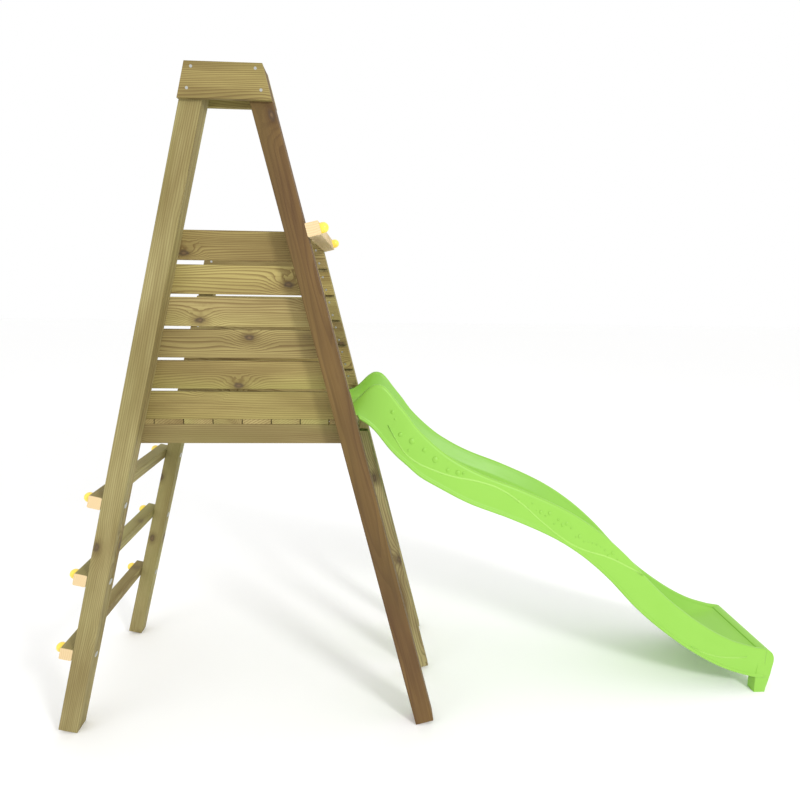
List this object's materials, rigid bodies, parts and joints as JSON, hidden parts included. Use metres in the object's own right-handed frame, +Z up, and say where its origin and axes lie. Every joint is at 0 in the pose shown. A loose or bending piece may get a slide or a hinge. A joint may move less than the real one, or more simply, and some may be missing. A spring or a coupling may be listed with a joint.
{
  "type": "play tower with slide",
  "caption": "Timber play tower: tall A-frame with gusset plates, railed deck, rung ladder with capped bolts, safety bar and a wavy moulded plastic slide.",
  "frame": {"origin": "on the ground, under the middle of the whole object", "axes": "+X from the ladder towards the slide's lower end, +Y from the tall front frame to the rear posts, +Z up"},
  "size_m": [2.8516, 0.718, 2.31],
  "materials": {
    "treated_pine": "sawn and planed pine, pressure treated, greenish brown",
    "pale_pine": "planed pine, lightly treated",
    "slide_plastic": "moulded lime green, soft gloss",
    "cap_plastic": "moulded yellow",
    "zinc_steel": "zinc plated"
  },
  "bodies": {
    "root": {"beam_screws": "zinc_steel", "bolt_caps": "cap_plastic", "bolt_nuts": "zinc_steel", "deck_board_1": "treated_pine", "deck_board_2": "treated_pine", "deck_board_3": "treated_pine", "deck_board_4": "treated_pine", "deck_board_5": "treated_pine", "deck_board_6": "treated_pine", "deck_board_7": "treated_pine", "deck_board_8": "treated_pine", "deck_screws": "zinc_steel", "front_deck_beam": "treated_pine", "front_gusset": "treated_pine", "front_gusset_screws": "zinc_steel", "front_left_post": "treated_pine", "front_post_bolts": "zinc_steel", "front_right_post": "treated_pine", "front_wall_board_1": "treated_pine", "front_wall_board_2": "treated_pine", "front_wall_board_3": "treated_pine", "front_wall_board_4": "treated_pine", "front_wall_board_5": "treated_pine", "front_wall_board_6": "treated_pine", "front_wall_screws": "zinc_steel", "left_deck_joist": "treated_pine", "rear_deck_beam": "treated_pine", "rear_gusset": "treated_pine", "rear_gusset_screws": "zinc_steel", "rear_left_post": "treated_pine", "rear_post_bolts": "zinc_steel", "rear_right_post": "treated_pine", "rear_wall_board_1": "treated_pine", "rear_wall_board_2": "treated_pine", "rear_wall_board_3": "treated_pine", "rear_wall_board_4": "treated_pine", "rear_wall_board_5": "treated_pine", "rear_wall_board_6": "treated_pine", "rear_wall_screws": "zinc_steel", "right_deck_joist": "treated_pine", "rung_1": "pale_pine", "rung_2": "pale_pine", "rung_3": "pale_pine", "safety_bar": "pale_pine", "slide": "slide_plastic", "slide_screws": "zinc_steel", "slide_support_leg": "treated_pine", "support_leg_screws": "zinc_steel"}
  },
  "joints": []
}
